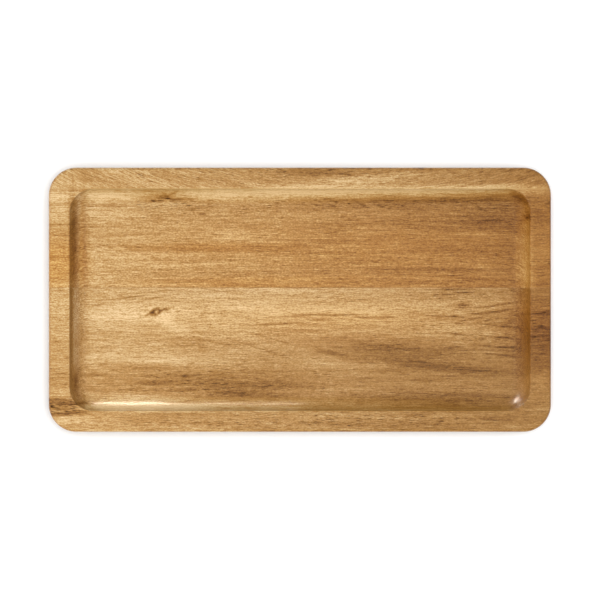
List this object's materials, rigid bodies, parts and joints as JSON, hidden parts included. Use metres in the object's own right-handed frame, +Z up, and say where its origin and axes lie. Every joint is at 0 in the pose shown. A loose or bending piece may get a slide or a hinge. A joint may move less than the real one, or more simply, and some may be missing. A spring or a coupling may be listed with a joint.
{
  "type": "serving tray",
  "caption": "Rectangular edge-glued hardwood serving tray with rounded corners, a flat rim and a shallow coved recess.",
  "frame": {"origin": "centre of the flat underside, in the plane the tray rests on", "axes": "+X along the length, +Y towards the rear edge, +Z up out of the recess"},
  "size_m": [0.38, 0.2, 0.018],
  "materials": {
    "rear_wood": "clear lacquered acacia, light satin gloss, straight streaky grain",
    "front_wood": "clear lacquered acacia, light satin gloss, flat-sawn grain with a knot",
    "glue": "cured amber wood glue under clear lacquer"
  },
  "bodies": {
    "root": {"rear_board": "rear_wood", "front_board": "front_wood", "glue_line": "glue"}
  },
  "joints": []
}
